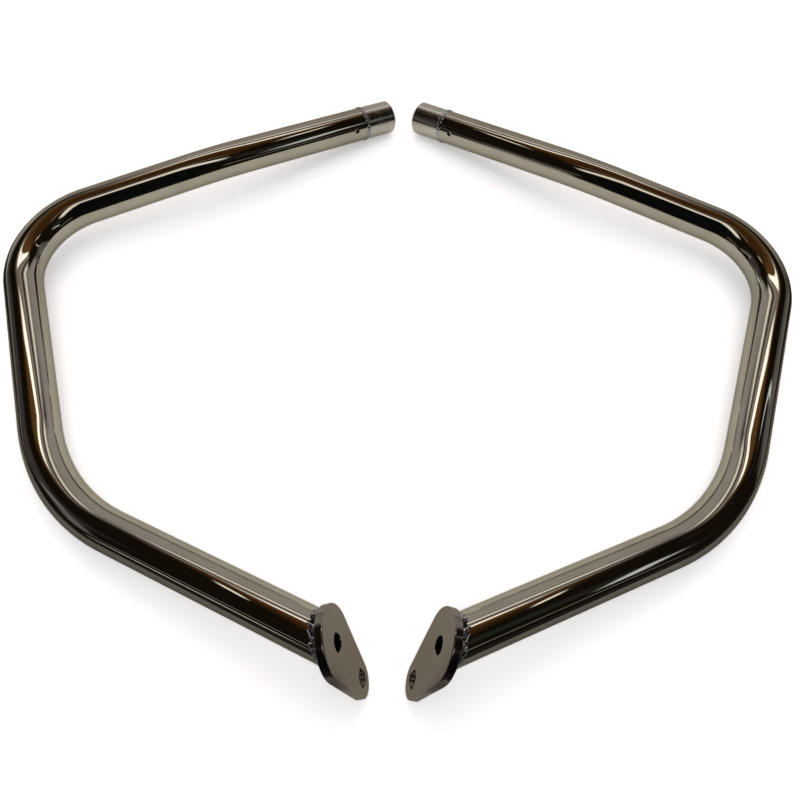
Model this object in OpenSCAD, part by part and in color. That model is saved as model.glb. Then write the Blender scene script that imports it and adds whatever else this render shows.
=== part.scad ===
// Pair of motorcycle crash bars, lying as they come to rest on a flat surface.
// Each bar is one bent tube with a welded mount plate at its lower end and a
// welded, threaded plug at its upper end. The left bar mirrors the right one.
// Z is up, X = 0 is the plane between the bars, the plates are at the -Y side.

/* [Tube] */
// Outside diameter of the tube
tube_d = 32; // [25:0.5:38]
// Wall thickness of the tube
tube_wall = 2.5; // [1.5:0.5:4]
// Diameter of the drain hole near the plug
drain_d = 5; // [3:0.5:8]
// Distance of the drain hole from the plug's weld
drain_back = 14; // [8:1:30]
// Angle of the drain hole round the tube
drain_turn = 147; // [-180:1:180]

/* [Straight runs] */
// Straight run from the mount plate to the lower bend
lower_run = 191.5; // [120:0.5:260]
// Straight run between the lower and the upper bend
outer_run = 142.5; // [80:0.5:220]
// Straight run between the upper bend and the kink
upper_run = 93; // [40:0.5:160]
// Straight run from the kink to the tube's upper end
tip_run = 128.5; // [80:0.5:180]

/* [Bends] */
// Angle of the lower bend
lower_angle = 46.6; // [35:0.1:60]
// Centreline radius of the lower bend
lower_radius = 143; // [100:1:180]
// Angle of the upper bend
upper_angle = 84.6; // [70:0.1:100]
// Centreline radius of the upper bend
upper_radius = 72.5; // [55:0.5:100]
// Turn of the upper bend out of the lower bend's plane
upper_turn = -10.2; // [-30:0.1:10]
// Angle of the kink
kink_angle = 15.2; // [5:0.1:25]
// Centreline radius of the kink
kink_radius = 235; // [120:5:320]
// Turn of the kink out of the upper bend's plane
kink_turn = -125.3; // [-150:0.1:-90]

/* [Mount plate] */
// Thickness of the mount plate
plate_t = 6; // [4:0.5:10]
// Radius of the plate's broad end
plate_r = 24.5; // [20:0.5:30]
// Radius of the plate's narrow end
plate_tip_r = 13; // [10:0.5:16]
// Length of the plate over both ends
plate_len = 81; // [70:0.5:110]
// Distance of the upper hole from the plate's broad end
hole_inset = 24.5; // [20:0.5:32]
// Distance of the lower hole from the plate's narrow end
lower_inset = 13; // [9:0.5:20]
// Diameter of the upper hole
upper_hole_d = 12; // [8:0.5:16]
// Diameter of the lower hole
lower_hole_d = 12; // [8:0.5:14]
// Tilt between the tube's end and the plate's normal
plate_tilt = 33.3; // [0:0.1:45]
// Direction of that tilt, round the tube
plate_lean_turn = 10.9; // [-45:0.1:45]
// Turn of the plate's long way, round its normal
plate_turn = -52.1; // [-120:0.1:0]
// Offset of the tube's centre from the upper hole, toward the narrow end
tube_offset = 5.3; // [0:0.1:8]

/* [End plug] */
// Length of the plug outside the tube
plug_len = 35; // [20:1:60]
// Length of the spigot inside the tube
spigot_len = 20; // [10:1:40]
// Clearance between the spigot and the tube, on the radius
spigot_gap = 0.1; // [0.05:0.05:0.4]
// Chamfer at the plug's end
plug_chamfer = 3; // [1:0.5:5]
// Core diameter of the plug's threaded hole
thread_d = 10.2; // [6:0.1:14]
// Depth of the threaded hole
thread_depth = 30; // [15:1:45]

/* [Welds] */
// Height of the plate's fillet weld along the tube
plate_weld_h = 4.5; // [2:0.5:8]
// Width of the plate's fillet weld over the plate
plate_weld_w = 3.5; // [1:0.1:5]
// Half width of the butt weld at the plug
plug_weld_w = 3; // [2:0.5:6]
// Height of the butt weld over the tube
plug_weld_h = 0.75; // [0.5:0.25:2]
// Ripples round each weld
weld_ripples = 18; // [8:1:24]
// Depth of the ripples, as a share of the weld's size
ripple_share = 0.12; // [0:0.02:0.4]

/* [Smoothness] */
// Flats round the tube
tube_sides = 36; // [24:4:48]
// Largest angle between two rings of points in a bend
bend_step_angle = 4.5; // [3:0.5:8]

/* [Lie of the bars] */
// Gap between the two bars, where they come closest
pair_gap = 16.5; // [4:0.5:120]
// Turn of each bar on the surface it lies on
lie_turn = 25; // [0:1:60]

/* [Hidden] */
$fn = 96;
tube_r = tube_d / 2;
bore_r = tube_r - tube_wall;
tip_pitch = plate_len - plate_r - plate_tip_r;
hole_pitch = plate_len - hole_inset - lower_inset;
// Times that the resting plane is worked out again
settle_rounds = 12;
// Steps round a weld, four to a ripple
weld_steps = 4 * weld_ripples;

// Frames are 4 x 4 matrices that follow the tube's centreline.
function shift(v) = [[1, 0, 0, v.x], [0, 1, 0, v.y], [0, 0, 1, v.z], [0, 0, 0, 1]];
function spin(a) = [[cos(a), -sin(a), 0, 0], [sin(a), cos(a), 0, 0], [0, 0, 1, 0], [0, 0, 0, 1]];
function pitch(a) = [[cos(a), 0, sin(a), 0], [0, 1, 0, 0], [-sin(a), 0, cos(a), 0], [0, 0, 0, 1]];
function run(len) = shift([0, 0, len]);
function elbow(a, r) = shift([r, 0, 0]) * pitch(a) * shift([-r, 0, 0]);
function point(frame, v = [0, 0, 0]) = let (p = frame * [v.x, v.y, v.z, 1]) [p.x, p.y, p.z];
function way(frame, v = [0, 0, 1]) = let (p = frame * [v.x, v.y, v.z, 0]) [p.x, p.y, p.z];
function unit(v) = v / norm(v);

// The chain starts where the tube's axis meets the plate's inboard face, with
// Z along the tube. Each bend turns the frame toward its own X.
ORIGIN = run(0);
AT_LOWER_BEND = run(lower_run);
AT_OUTER_RUN = AT_LOWER_BEND * elbow(lower_angle, lower_radius);
AT_UPPER_BEND = AT_OUTER_RUN * run(outer_run) * spin(upper_turn);
AT_UPPER_RUN = AT_UPPER_BEND * elbow(upper_angle, upper_radius);
AT_KINK = AT_UPPER_RUN * run(upper_run) * spin(kink_turn);
AT_TIP_RUN = AT_KINK * elbow(kink_angle, kink_radius);
AT_PLUG = AT_TIP_RUN * run(tip_run);

// The plate's frame: origin at the upper hole on the inboard face, Z out of
// that face, X toward the narrow end.
AT_PLATE = spin(plate_lean_turn) * pitch(180 - plate_tilt) * spin(plate_turn) * shift([-tube_offset, 0, 0]);
broad_x = plate_r - hole_inset;
narrow_x = broad_x + tip_pitch;

// Lowest points of a bar for a given upward direction: on the plug's rim, on
// the lower bend and on the plate's narrow end.
function across(down, along) = unit(down - along * (down * along));
function rim_point(up) =
    let (axis = way(AT_PLUG))
    point(AT_PLUG, [0, 0, plug_len - plug_chamfer]) + tube_r * across(-up, axis);
function bend_point(up) =
    let (u = [up * way(AT_LOWER_BEND, [1, 0, 0]), up * way(AT_LOWER_BEND)])
    let (a = max(0, min(lower_angle, atan(-u[1] / u[0]))))
    let (at = AT_LOWER_BEND * elbow(a, lower_radius))
    point(at) + tube_r * across(-up, way(at));
function plate_point(up) =
    let (n = way(AT_PLATE), face = up * n > 0 ? -plate_t : 0)
    point(AT_PLATE, [narrow_x, 0, face]) + plate_tip_r * across(-up, n);

// Upward direction of the bar at rest: the plane through the three lowest
// points, worked out again until it stays.
function settle(up, rounds) =
    rounds == 0 ? up :
    let (a = rim_point(up), b = bend_point(up), c = plate_point(up))
    let (n = unit(cross(b - a, c - a)))
    settle(n * up > 0 ? n : -n, rounds - 1);
UP = settle([0.25, 0.95, -0.2], settle_rounds);

// Placement of the right bar: laid on Z = 0, turned, and moved to its place.
flat_x = across(way(ORIGIN), UP);
flat_y = cross(UP, flat_x);
LAID = spin(lie_turn) * [
    [flat_x.x, flat_x.y, flat_x.z, 0],
    [flat_y.x, flat_y.y, flat_y.z, 0],
    [UP.x, UP.y, UP.z, -UP * rim_point(UP)],
    [0, 0, 0, 1]
];

// Edges of the plug and the plate: each is a circle's frame and its radius
RIMS = concat(
    [
        [LAID * AT_PLUG * run(plug_len - plug_chamfer), tube_r],
        [LAID * AT_PLUG * run(plug_len), tube_r - plug_chamfer]
    ],
    [
        for (x = [[broad_x, plate_r], [narrow_x, plate_tip_r]], z = [-plate_t, 0])
        [LAID * AT_PLATE * shift([x[0], 0, z]), x[1]]
    ]
);
// How far such a circle reaches from its centre along X, as axis 0, or Y, as axis 1
function circle_reach(rim, axis) = rim[1] * sqrt(1 - pow(way(rim[0])[axis], 2));
function low_edge(rim, axis) = point(rim[0])[axis] - circle_reach(rim, axis);
inner_x = min([for (rim = RIMS) low_edge(rim, 0)]);
near_y = min([for (rim = RIMS) low_edge(rim, 1)]);
far_y = point(RIMS[0][0]).y + circle_reach(RIMS[0], 1);
PLACE = shift([pair_gap / 2 - inner_x, -(near_y + far_y) / 2, 0]) * LAID;

module right() {
    multmatrix(PLACE) children();
}

module left() {
    mirror([1, 0, 0]) right() children();
}

// Frames along one bend, in steps of about bend_step_angle degrees. They are turned
// back by what the chain has turned so far, so that the wall's lines don't twist.
function along_bend(frame, a, r, turned) =
    let (n = ceil(a / bend_step_angle))
    [for (i = [0 : n]) frame * elbow(a * i / n, r) * spin(-turned)];

// Frames along the bar at which the tube gets a ring of points. A straight run
// needs none between its ends.
STATIONS = concat(
    along_bend(AT_LOWER_BEND, lower_angle, lower_radius, 0),
    along_bend(AT_UPPER_BEND, upper_angle, upper_radius, upper_turn),
    along_bend(AT_KINK, kink_angle, kink_radius, upper_turn + kink_turn),
    [AT_PLUG * spin(-upper_turn - kink_turn)]
);

// Height of the plate's back over a point at radius r and angle a of the
// chain's first frame. The tube's lower end and its weld lie on it.
function back_z(r, a) = plate_t / cos(plate_tilt) + r * tan(plate_tilt) * cos(a - plate_lean_turn);

// One line along the tube's wall, from the plate's back to the plug
function wall_line(r, a) = concat(
    [[r * cos(a), r * sin(a), back_z(r, a)]],
    [for (s = STATIONS) point(s, [r * cos(a), r * sin(a), 0])]
);

// A closed ring skinned over sections: each section is a loop of points
module skin_ring(sections) {
    n = len(sections);
    m = len(sections[0]);
    polyhedron(
        points = [for (s = sections) each s],
        faces = [
            for (i = [0 : n - 1], j = [0 : m - 1])
            let (k = (i + 1) % n, l = (j + 1) % m)
            each [
                [i * m + j, i * m + l, k * m + l],
                [i * m + j, k * m + l, k * m + j]
            ]
        ]
    );
}

function backward(list) = [for (i = [len(list) - 1 : -1 : 0]) list[i]];

// The tube is skinned round from lines up its outside and back down its bore.
// The bore's flats lie at bore_r, so that the spigot clears them.
module tube() {
    flat_bore_r = bore_r / cos(180 / tube_sides);
    color("#4f4842")
        difference() {
            skin_ring([
                for (i = [0 : tube_sides - 1])
                let (a = -360 * i / tube_sides)
                concat(wall_line(tube_r, a), backward(wall_line(flat_bore_r, a)))
            ]);
            // Drain hole through one wall
            multmatrix(AT_PLUG * run(-drain_back) * spin(drain_turn))
                rotate([0, 90, 0])
                    cylinder(d = drain_d, h = tube_d);
        }
}

module end_plug() {
    spigot_r = bore_r - spigot_gap;
    floor_z = plug_len - thread_depth;
    color("#8c877f")
        multmatrix(AT_PLUG)
            rotate_extrude()
                polygon([
                    [0, -spigot_len],
                    [spigot_r, -spigot_len],
                    [spigot_r, 0],
                    [tube_r, 0],
                    [tube_r, plug_len - plug_chamfer],
                    [tube_r - plug_chamfer, plug_len],
                    [thread_d / 2, plug_len],
                    [thread_d / 2, floor_z],
                    [0, floor_z]
                ]);
}

// Outline of the plate: two round ends and the straight sides that touch both
module plate_outline_solid() {
    lean = acos((plate_r - plate_tip_r) / tip_pitch);
    foot = [cos(lean), sin(lean)];
    translate([broad_x, 0, 0]) cylinder(r = plate_r, h = plate_t);
    translate([narrow_x, 0, 0]) cylinder(r = plate_tip_r, h = plate_t);
    linear_extrude(plate_t)
        polygon([
            [broad_x + plate_r * foot.x, plate_r * foot.y],
            [narrow_x + plate_tip_r * foot.x, plate_tip_r * foot.y],
            [narrow_x + plate_tip_r * foot.x, -plate_tip_r * foot.y],
            [broad_x + plate_r * foot.x, -plate_r * foot.y]
        ]);
}

module mount_plate() {
    color("#6d655c")
        multmatrix(AT_PLATE)
            translate([0, 0, -plate_t])
                difference() {
                    plate_outline_solid();
                    for (hole = [[0, upper_hole_d], [hole_pitch, lower_hole_d]])
                        translate([hole[0], 0, -1])
                            cylinder(d = hole[1], h = plate_t + 2);
                }
}

// Size of a bead at angle a: the ripples of a hand-laid weld
function ripple(a) = 1 + ripple_share * cos(weld_ripples * a);
// Radius at which a ring of flats just clears the tube's round wall
function clear_r() = tube_r / cos(180 / weld_steps);

// Fillet weld round the tube, in the corner against the plate's back
module plate_weld() {
    function at(r, a, lift) = [r * cos(a), r * sin(a), back_z(r, a) + lift];
    r = clear_r();
    color("#5a544d")
        skin_ring([
            for (i = [0 : weld_steps - 1])
            let (a = -360 * i / weld_steps, s = ripple(a))
            [
                at(r, a, 0),
                at(r + plate_weld_w * s, a, 0),
                at(r + 0.75 * plate_weld_w * s, a, 0.5 * plate_weld_h * s),
                at(r, a, plate_weld_h * s)
            ]
        ]);
}

// Butt weld over the joint between tube and plug
module plug_weld() {
    r = clear_r();
    color("#77716a")
        multmatrix(AT_PLUG)
            skin_ring([
                for (i = [0 : weld_steps - 1])
                let (a = -360 * i / weld_steps, s = ripple(a))
                let (w = plug_weld_w, h = plug_weld_h * s)
                [
                    for (p = [[r, -w], [r + 0.75 * h, -w / 2], [r + h, 0], [r + 0.75 * h, w / 2], [r, w]])
                    [p[0] * cos(a), p[0] * sin(a), p[1]]
                ]
            ]);
}

right() tube();  // right_tube
right() end_plug();  // right_end_plug
right() mount_plate();  // right_mount_plate
right() plate_weld();  // right_plate_weld
right() plug_weld();  // right_plug_weld
left() tube();  // left_tube
left() end_plug();  // left_end_plug
left() mount_plate();  // left_mount_plate
left() plate_weld();  // left_plate_weld
left() plug_weld();  // left_plug_weld
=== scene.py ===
"""Pair of chromed motorcycle crash bars, lying on a pale studio floor.

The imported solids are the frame. Each bar is built again from the same named
sizes as a set of closed meshes: a bent tube with its drain hole, a turned plug
with a threaded hole, a mount plate with broken edges, and two weld beads. The
left bar mirrors the right one. Lengths of the part are in millimetres here and
become metres when a mesh is made; everything else is in metres.
"""

from __future__ import annotations

import logging
import math
from dataclasses import dataclass
from enum import Enum

import bpy
import numpy as np
from mathutils import Matrix, Vector

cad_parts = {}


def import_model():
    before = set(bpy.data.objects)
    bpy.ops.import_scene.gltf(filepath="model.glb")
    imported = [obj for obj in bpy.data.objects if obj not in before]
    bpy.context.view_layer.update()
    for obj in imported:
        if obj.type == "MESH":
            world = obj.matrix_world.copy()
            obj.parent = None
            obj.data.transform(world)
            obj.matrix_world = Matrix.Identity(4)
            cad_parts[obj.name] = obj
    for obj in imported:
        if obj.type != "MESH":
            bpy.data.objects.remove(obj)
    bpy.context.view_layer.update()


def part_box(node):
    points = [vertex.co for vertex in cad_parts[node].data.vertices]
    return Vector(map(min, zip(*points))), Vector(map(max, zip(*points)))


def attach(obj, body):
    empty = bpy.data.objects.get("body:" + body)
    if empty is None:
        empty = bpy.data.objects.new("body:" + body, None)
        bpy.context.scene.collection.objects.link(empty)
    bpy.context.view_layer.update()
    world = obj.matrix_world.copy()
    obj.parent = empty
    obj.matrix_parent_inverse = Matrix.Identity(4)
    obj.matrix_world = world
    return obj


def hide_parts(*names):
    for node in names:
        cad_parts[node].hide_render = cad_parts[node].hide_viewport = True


LOG = logging.getLogger("crash_bars")
MILLIMETRE = 0.001
JOIN_WITHIN = 2.0e-4 * MILLIMETRE


class Side(Enum):
    """The two bars of the pair, with the sign of their X."""

    RIGHT = 1
    LEFT = -1

    def named(self, piece: str) -> str:
        """Name of a CAD node or slot on this side."""
        return f"{self.name.lower()}_{piece}"


# Frames are 4 x 4 matrices that follow the tube's centreline.


def shift(x: float = 0.0, y: float = 0.0, z: float = 0.0) -> np.ndarray:
    """Frame moved by a vector.

    Args:
        x: Move along X.
        y: Move along Y.
        z: Move along Z.

    Returns:
        The frame.
    """
    frame = np.eye(4)
    frame[:3, 3] = (x, y, z)
    return frame


def spin(degrees: float) -> np.ndarray:
    """Frame turned about Z.

    Args:
        degrees: Angle of the turn, from X toward Y.

    Returns:
        The frame.
    """
    c, s = math.cos(math.radians(degrees)), math.sin(math.radians(degrees))
    frame = np.eye(4)
    frame[:2, :2] = [[c, -s], [s, c]]
    return frame


def pitch(degrees: float) -> np.ndarray:
    """Frame turned about Y.

    Args:
        degrees: Angle of the turn, from Z toward X.

    Returns:
        The frame.
    """
    c, s = math.cos(math.radians(degrees)), math.sin(math.radians(degrees))
    frame = np.eye(4)
    frame[0, 0], frame[0, 2] = c, s
    frame[2, 0], frame[2, 2] = -s, c
    return frame


def elbow(degrees: float, radius: float) -> np.ndarray:
    """Frame carried along a bend toward its own X."""
    return shift(radius) @ pitch(degrees) @ shift(-radius)


def point(frame: np.ndarray, x: float = 0.0, y: float = 0.0, z: float = 0.0) -> np.ndarray:
    """Place of a local point."""
    return (frame @ np.array([x, y, z, 1.0]))[:3]


def way(frame: np.ndarray, x: float = 0.0, y: float = 0.0, z: float = 1.0) -> np.ndarray:
    """Direction of a local vector, Z unless another is given."""
    return (frame @ np.array([x, y, z, 0.0]))[:3]


def unit(vector: np.ndarray) -> np.ndarray:
    """Vector of length one."""
    return vector / np.linalg.norm(vector)


def across(down: np.ndarray, along: np.ndarray) -> np.ndarray:
    """Unit vector nearest to one direction and square to another."""
    return unit(down - along * float(down @ along))


def ripple_noise(angle: np.ndarray, seed: int, waves: tuple[int, ...]) -> np.ndarray:
    """Smooth closed noise round a circle: a sum of sines with seeded phases.

    Args:
        angle: Angles in radians.
        seed: Seed of the phases.
        waves: Number of waves round the circle for each sine.

    Returns:
        Values of about -1 to 1 with the shape of the angles.
    """
    phases = np.random.default_rng(seed).uniform(0.0, 2.0 * np.pi, len(waves))
    total = sum(np.sin(count * angle + phase) for count, phase in zip(waves, phases))
    return total / math.sqrt(len(waves))


class Surface:
    """Points and faces of one closed mesh, gathered patch by patch.

    Edges between patches of different groups are sharp, all others are smooth.
    """

    def __init__(self) -> None:
        """Starts with no patch."""
        self.points: list[np.ndarray] = []
        self.faces: list[np.ndarray] = []
        self.groups: list[np.ndarray] = []
        self.count = 0

    def _add(self, points: np.ndarray, faces: np.ndarray, group: int) -> None:
        """Adds points and four-cornered faces.

        Args:
            points: The points, in an array whose last axis is X, Y and Z.
            faces: Their corners, counted from the first point of this patch.
            group: Smoothing group.
        """
        self.points.append(points.reshape(-1, 3))
        self.faces.append(faces.reshape(-1, 4) + self.count)
        self.groups.append(np.full(faces.reshape(-1, 4).shape[0], group))
        self.count += self.points[-1].shape[0]

    def grid(
        self,
        points: np.ndarray,
        group: int,
        closed: tuple[bool, bool] = (False, False),
        keep: np.ndarray | None = None,
    ) -> None:
        """Adds a grid of points as quads.

        Args:
            points: Array of shape (rows, columns, 3).
            group: Smoothing group.
            closed: Whether the rows and the columns run round and meet.
            keep: Mask of the quads that stay, or None for all.
        """
        index = np.arange(points.shape[0] * points.shape[1]).reshape(points.shape[:2])
        if closed[0]:
            index = np.vstack([index, index[:1]])
        if closed[1]:
            index = np.hstack([index, index[:, :1]])
        corners = [index[:-1, :-1], index[1:, :-1], index[1:, 1:], index[:-1, 1:]]
        quads = np.stack(corners, axis=-1)
        self._add(points, quads if keep is None else quads[keep], group)

    def disc(self, ring: np.ndarray, group: int) -> None:
        """Fills a ring of points round its middle.

        Args:
            ring: Points of the ring, in order.
            group: Smoothing group.
        """
        count = ring.shape[0]
        here = np.arange(count)
        there = (here + 1) % count
        faces = np.stack([here, there, np.full(count, count), np.full(count, count)], axis=-1)
        self._add(np.vstack([ring, ring.mean(axis=0)]), faces, group)

    def moved(self, frame: np.ndarray, side: Side) -> "Surface":
        """Copy of the surface in the row frame, in metres.

        Args:
            frame: Placement of the right bar's piece, in millimetres.
            side: The bar that the copy belongs to. The left one is mirrored in X
                and its faces turn round, so that they still look outward.

        Returns:
            The new surface.
        """
        points = np.vstack(self.points) @ frame[:3, :3].T + frame[:3, 3]
        faces = np.vstack(self.faces)
        if side is Side.LEFT:
            points = points * np.array([-1.0, 1.0, 1.0])
            faces = faces[:, ::-1]
        copy = Surface()
        copy.points = [points * MILLIMETRE]
        copy.faces = [faces]
        copy.groups = [np.concatenate(self.groups)]
        copy.count = points.shape[0]
        return copy

    def mesh(self, name: str) -> bpy.types.Mesh:
        """Blender mesh of the surface, with points at one place joined.

        Faces keep their order. A corner that repeats its neighbour is dropped,
        which turns a quad into a triangle.

        Args:
            name: Name of the mesh.

        Returns:
            The mesh, smooth but for its sharp edges.
        """
        points = np.vstack(self.points)
        cells = np.round(points / JOIN_WITHIN).astype(np.int64)
        _, first, where = np.unique(cells, axis=0, return_index=True, return_inverse=True)
        where = where.reshape(-1)
        faces = where[np.vstack(self.faces)]
        real = faces != np.roll(faces, -1, axis=1)
        sides = real.sum(axis=1)
        whole = sides > 2
        faces, real, sides = faces[whole], real[whole], sides[whole]
        groups = np.concatenate(self.groups)[whole]
        corners = faces[real]
        used, corners = np.unique(corners, return_inverse=True)
        mesh = bpy.data.meshes.new(name)
        mesh.vertices.add(used.size)
        mesh.vertices.foreach_set("co", points[first[used]].ravel())
        mesh.loops.add(corners.size)
        mesh.loops.foreach_set("vertex_index", corners.ravel())
        mesh.polygons.add(sides.size)
        mesh.polygons.foreach_set("loop_start", np.concatenate([[0], np.cumsum(sides)[:-1]]))
        mesh.update(calc_edges=True)
        self._mark_sharp(mesh, np.repeat(groups, sides))
        mesh.validate()
        return mesh

    @staticmethod
    def _mark_sharp(mesh: bpy.types.Mesh, loop_groups: np.ndarray) -> None:
        """Marks the edges whose two faces belong to different groups.

        Args:
            mesh: The mesh.
            loop_groups: Smoothing group of each face corner.
        """
        edges = np.empty(len(mesh.loops), dtype=np.int64)
        mesh.loops.foreach_get("edge_index", edges)
        low = np.full(len(mesh.edges), np.iinfo(np.int64).max)
        high = np.full(len(mesh.edges), -1)
        np.minimum.at(low, edges, loop_groups)
        np.maximum.at(high, edges, loop_groups)
        mesh.shade_smooth()
        sharp = mesh.attributes.new("sharp_edge", "BOOLEAN", "EDGE")
        sharp.data.foreach_set("value", low != high)
        uses = np.bincount(edges, minlength=len(mesh.edges))
        LOG.info("%s: %d faces, %d open edges", mesh.name, len(mesh.polygons), int((uses != 2).sum()))


@dataclass(frozen=True)
class Route:
    """Centreline of one bar as a chain of frames, from the mount plate to the plug."""

    lower_run: float = 191.5
    outer_run: float = 142.5
    upper_run: float = 93.0
    tip_run: float = 128.5
    lower_angle: float = 46.6
    lower_radius: float = 143.0
    upper_angle: float = 84.6
    upper_radius: float = 72.5
    upper_turn: float = -10.2
    kink_angle: float = 15.2
    kink_radius: float = 235.0
    kink_turn: float = -125.3
    bend_step: float = 2.0
    settle_in: float = 3.0

    @property
    def turned(self) -> float:
        """Turn of the chain about the tube by the time it reaches the plug."""
        return self.upper_turn + self.kink_turn

    @property
    def at_lower_bend(self) -> np.ndarray:
        """Start of the lower bend."""
        return shift(z=self.lower_run)

    @property
    def at_upper_bend(self) -> np.ndarray:
        """Start of the upper bend."""
        after = self.at_lower_bend @ elbow(self.lower_angle, self.lower_radius)
        return after @ shift(z=self.outer_run) @ spin(self.upper_turn)

    @property
    def at_kink(self) -> np.ndarray:
        """Start of the kink."""
        after = self.at_upper_bend @ elbow(self.upper_angle, self.upper_radius)
        return after @ shift(z=self.upper_run) @ spin(self.kink_turn)

    @property
    def at_plug(self) -> np.ndarray:
        """Upper end of the tube, where the plug starts."""
        after = self.at_kink @ elbow(self.kink_angle, self.kink_radius)
        return after @ shift(z=self.tip_run)

    def _along(self, start: np.ndarray, angle: float, radius: float, turned: float) -> np.ndarray:
        """Frames along one bend, with one more just before and after it.

        Args:
            start: Frame at the bend's start.
            angle: Angle of the bend in degrees.
            radius: Radius of its centreline.
            turned: What the chain has turned about the tube so far. The frames
                are turned back by it, so that lines along the tube don't twist.

        Returns:
            Array of shape (frames, 4, 4).
        """
        steps = np.linspace(0.0, angle, math.ceil(angle / self.bend_step) + 1)
        bend = [start @ elbow(step, radius) for step in steps]
        frames = [bend[0] @ shift(z=-self.settle_in), *bend, bend[-1] @ shift(z=self.settle_in)]
        return np.stack(frames) @ spin(-turned)

    def stations(self, near_hole: np.ndarray) -> np.ndarray:
        """Frames of all rings of points, after the one at the mount plate.

        Args:
            near_hole: Distances before the plug of the rings round the drain hole.

        Returns:
            Array of shape (frames, 4, 4).
        """
        tip = np.stack([self.at_plug @ shift(z=-back) for back in near_hole] + [self.at_plug])
        return np.concatenate(
            [
                self._along(self.at_lower_bend, self.lower_angle, self.lower_radius, 0.0),
                self._along(self.at_upper_bend, self.upper_angle, self.upper_radius, self.upper_turn),
                self._along(self.at_kink, self.kink_angle, self.kink_radius, self.turned),
                tip @ spin(-self.turned),
            ]
        )


@dataclass(frozen=True)
class Seat:
    """How the mount plate sits on the tube's lower end."""

    thickness: float = 6.0
    tilt: float = 33.3
    lean: float = 10.9
    turn: float = -52.1
    offset: float = 5.3

    @property
    def at_plate(self) -> np.ndarray:
        """Frame at the upper hole on the inboard face: Z out of it, X toward the narrow end."""
        return spin(self.lean) @ pitch(180.0 - self.tilt) @ spin(self.turn) @ shift(-self.offset)

    def back(self, radius: np.ndarray, angle: np.ndarray) -> np.ndarray:
        """Height of the plate's back over the chain's first frame.

        Args:
            radius: Distance from the tube's axis.
            angle: Angle round the axis in radians.

        Returns:
            Heights: the plane through the tilted back, thickness / cos(tilt) on the
            axis and rising by tan(tilt) toward the lean.
        """
        tilt = math.radians(self.tilt)
        slope = radius * math.tan(tilt) * np.cos(angle - math.radians(self.lean))
        return self.thickness / math.cos(tilt) + slope

    def on_back(self, radius: np.ndarray, angle: np.ndarray, lift: np.ndarray) -> np.ndarray:
        """Points over the plate's back, given round the tube's axis.

        Args:
            radius: Distance from the axis.
            angle: Angle round the axis in radians.
            lift: Height over the plate's back, along the axis.

        Returns:
            The points: radius * cos(angle), radius * sin(angle) and back + lift.
        """
        radius, angle, lift = np.broadcast_arrays(radius, angle, lift)
        height = self.back(radius, angle) + lift
        return np.stack([radius * np.cos(angle), radius * np.sin(angle), height], axis=-1)


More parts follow.
